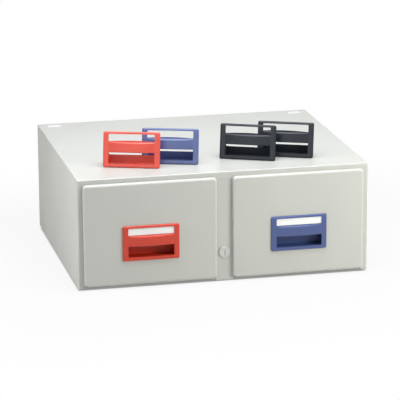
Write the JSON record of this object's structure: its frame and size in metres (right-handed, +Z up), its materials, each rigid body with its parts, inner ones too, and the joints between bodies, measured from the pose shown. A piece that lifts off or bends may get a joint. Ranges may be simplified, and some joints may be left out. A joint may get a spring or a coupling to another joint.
{
  "type": "card index cabinet",
  "caption": "Desktop steel card index cabinet with side-by-side overlay drawers on roller runners, a central cam lock and interchangeable colour-coded handles.",
  "frame": {"origin": "on the floor, below the middle of the whole cabinet's box, fronts and handles included", "axes": "+X to the right seen from the front, +Y towards the back (the drawers open along -Y), +Z up"},
  "size_m": [0.516, 0.4373, 0.2596],
  "materials": {
    "grey_enamel": "satin warm grey stove enamel",
    "zinc_steel": "zinc plated",
    "nickel_lock": "satin nickel plate",
    "white_nylon": "moulded",
    "black_rubber": "moulded",
    "label_card": "plain white card",
    "red_abs": "moulded satin",
    "blue_abs": "moulded satin",
    "black_abs": "moulded satin"
  },
  "bodies": {
    "cabinet": {"case_wrapper": "grey_enamel", "base_pan": "grey_enamel", "back_panel": "grey_enamel", "front_pillar": "grey_enamel", "centre_partition": "grey_enamel", "foot_front_left": "black_rubber", "foot_front_right": "black_rubber", "foot_rear_left": "black_rubber", "foot_rear_right": "black_rubber", "left_outer_runner": "zinc_steel", "left_inner_runner": "zinc_steel", "right_inner_runner": "zinc_steel", "right_outer_runner": "zinc_steel", "lock_body": "nickel_lock", "lock_nut": "zinc_steel"},
    "lock": {"lock_plug": "nickel_lock", "lock_cam": "zinc_steel", "cam_screw": "zinc_steel"},
    "left_drawer": {"left_drawer_front": "grey_enamel", "left_front_liner": "grey_enamel", "left_tray": "grey_enamel", "left_lock_strike": "zinc_steel", "left_follower_track": "zinc_steel", "left_handle": "red_abs", "left_label_card": "label_card", "left_inner_rail": "zinc_steel", "left_outer_rail": "zinc_steel"},
    "left_follower": {"left_follower_plate": "grey_enamel", "left_follower_shoe": "white_nylon"},
    "left_inner_front_roller": {"left_inner_front_roller": "white_nylon"},
    "left_inner_rear_roller": {"left_inner_rear_roller": "white_nylon"},
    "left_outer_front_roller": {"left_outer_front_roller": "white_nylon"},
    "left_outer_rear_roller": {"left_outer_rear_roller": "white_nylon"},
    "right_drawer": {"right_drawer_front": "grey_enamel", "right_front_liner": "grey_enamel", "right_tray": "grey_enamel", "right_lock_strike": "zinc_steel", "right_follower_track": "zinc_steel", "right_handle": "blue_abs", "right_label_card": "label_card", "right_inner_rail": "zinc_steel", "right_outer_rail": "zinc_steel"},
    "right_follower": {"right_follower_plate": "grey_enamel", "right_follower_shoe": "white_nylon"},
    "right_inner_front_roller": {"right_inner_front_roller": "white_nylon"},
    "right_inner_rear_roller": {"right_inner_rear_roller": "white_nylon"},
    "right_outer_front_roller": {"right_outer_front_roller": "white_nylon"},
    "right_outer_rear_roller": {"right_outer_rear_roller": "white_nylon"},
    "spare_handle_red": {"spare_handle_red": "red_abs"},
    "spare_handle_blue": {"spare_handle_blue": "blue_abs"},
    "spare_handle_black_front": {"spare_handle_black_front": "black_abs"},
    "spare_handle_black_rear": {"spare_handle_black_rear": "black_abs"}
  },
  "joints": [
    {"name": "lock_turn", "type": "hinge", "parent": "cabinet", "child": "lock", "pos_m": [0, -0.20535, 0.054], "axis": [0, 1, 0], "range_deg": [0, 90]},
    {"name": "left_drawer_slide", "type": "slide", "parent": "cabinet", "child": "left_drawer", "axis": [0, -1, 0], "range_m": [0, 0.3]},
    {"name": "left_follower_slide", "type": "slide", "parent": "left_drawer", "child": "left_follower", "axis": [0, -1, 0], "range_m": [0, 0.286]},
    {"name": "left_inner_front_roller_spin", "type": "hinge", "parent": "cabinet", "child": "left_inner_front_roller", "pos_m": [-0.02045, -0.16635, 0.0245], "axis": [1, 0, 0], "range_deg": [0, 1915]},
    {"name": "left_inner_rear_roller_spin", "type": "hinge", "parent": "left_drawer", "child": "left_inner_rear_roller", "pos_m": [-0.02045, 0.18065, 0.0225], "axis": [1, 0, 0], "range_deg": [0, 1915]},
    {"name": "left_outer_front_roller_spin", "type": "hinge", "parent": "cabinet", "child": "left_outer_front_roller", "pos_m": [-0.24255, -0.16635, 0.0245], "axis": [1, 0, 0], "range_deg": [0, 1915]},
    {"name": "left_outer_rear_roller_spin", "type": "hinge", "parent": "left_drawer", "child": "left_outer_rear_roller", "pos_m": [-0.24255, 0.18065, 0.0225], "axis": [1, 0, 0], "range_deg": [0, 1915]},
    {"name": "right_drawer_slide", "type": "slide", "parent": "cabinet", "child": "right_drawer", "axis": [0, -1, 0], "range_m": [0, 0.3]},
    {"name": "right_follower_slide", "type": "slide", "parent": "right_drawer", "child": "right_follower", "axis": [0, -1, 0], "range_m": [0, 0.286]},
    {"name": "right_inner_front_roller_spin", "type": "hinge", "parent": "cabinet", "child": "right_inner_front_roller", "pos_m": [0.02045, -0.16635, 0.0245], "axis": [1, 0, 0], "range_deg": [0, 1915]},
    {"name": "right_inner_rear_roller_spin", "type": "hinge", "parent": "right_drawer", "child": "right_inner_rear_roller", "pos_m": [0.02045, 0.18065, 0.0225], "axis": [1, 0, 0], "range_deg": [0, 1915]},
    {"name": "right_outer_front_roller_spin", "type": "hinge", "parent": "cabinet", "child": "right_outer_front_roller", "pos_m": [0.24255, -0.16635, 0.0245], "axis": [1, 0, 0], "range_deg": [0, 1915]},
    {"name": "right_outer_rear_roller_spin", "type": "hinge", "parent": "right_drawer", "child": "right_outer_rear_roller", "pos_m": [0.24255, 0.18065, 0.0225], "axis": [1, 0, 0], "range_deg": [0, 1915]},
    {"name": "spare_handle_red_lift", "type": "slide", "parent": "cabinet", "child": "spare_handle_red", "axis": [0, 0, 1], "range_m": [0, 0.15]},
    {"name": "spare_handle_blue_lift", "type": "slide", "parent": "cabinet", "child": "spare_handle_blue", "axis": [0, 0, 1], "range_m": [0, 0.15]},
    {"name": "spare_handle_black_front_lift", "type": "slide", "parent": "cabinet", "child": "spare_handle_black_front", "axis": [0, 0, 1], "range_m": [0, 0.15]},
    {"name": "spare_handle_black_rear_lift", "type": "slide", "parent": "cabinet", "child": "spare_handle_black_rear", "axis": [0, 0, 1], "range_m": [0, 0.15]}
  ],
  "couplings": [
    {"joint": "left_inner_front_roller_spin", "follows": "left_drawer_slide", "rad_per_m": 111.11},
    {"joint": "left_inner_rear_roller_spin", "follows": "left_drawer_slide", "rad_per_m": 111.11},
    {"joint": "left_outer_front_roller_spin", "follows": "left_drawer_slide", "rad_per_m": 111.11},
    {"joint": "left_outer_rear_roller_spin", "follows": "left_drawer_slide", "rad_per_m": 111.11},
    {"joint": "right_inner_front_roller_spin", "follows": "right_drawer_slide", "rad_per_m": 111.11},
    {"joint": "right_inner_rear_roller_spin", "follows": "right_drawer_slide", "rad_per_m": 111.11},
    {"joint": "right_outer_front_roller_spin", "follows": "right_drawer_slide", "rad_per_m": 111.11},
    {"joint": "right_outer_rear_roller_spin", "follows": "right_drawer_slide", "rad_per_m": 111.11}
  ]
}
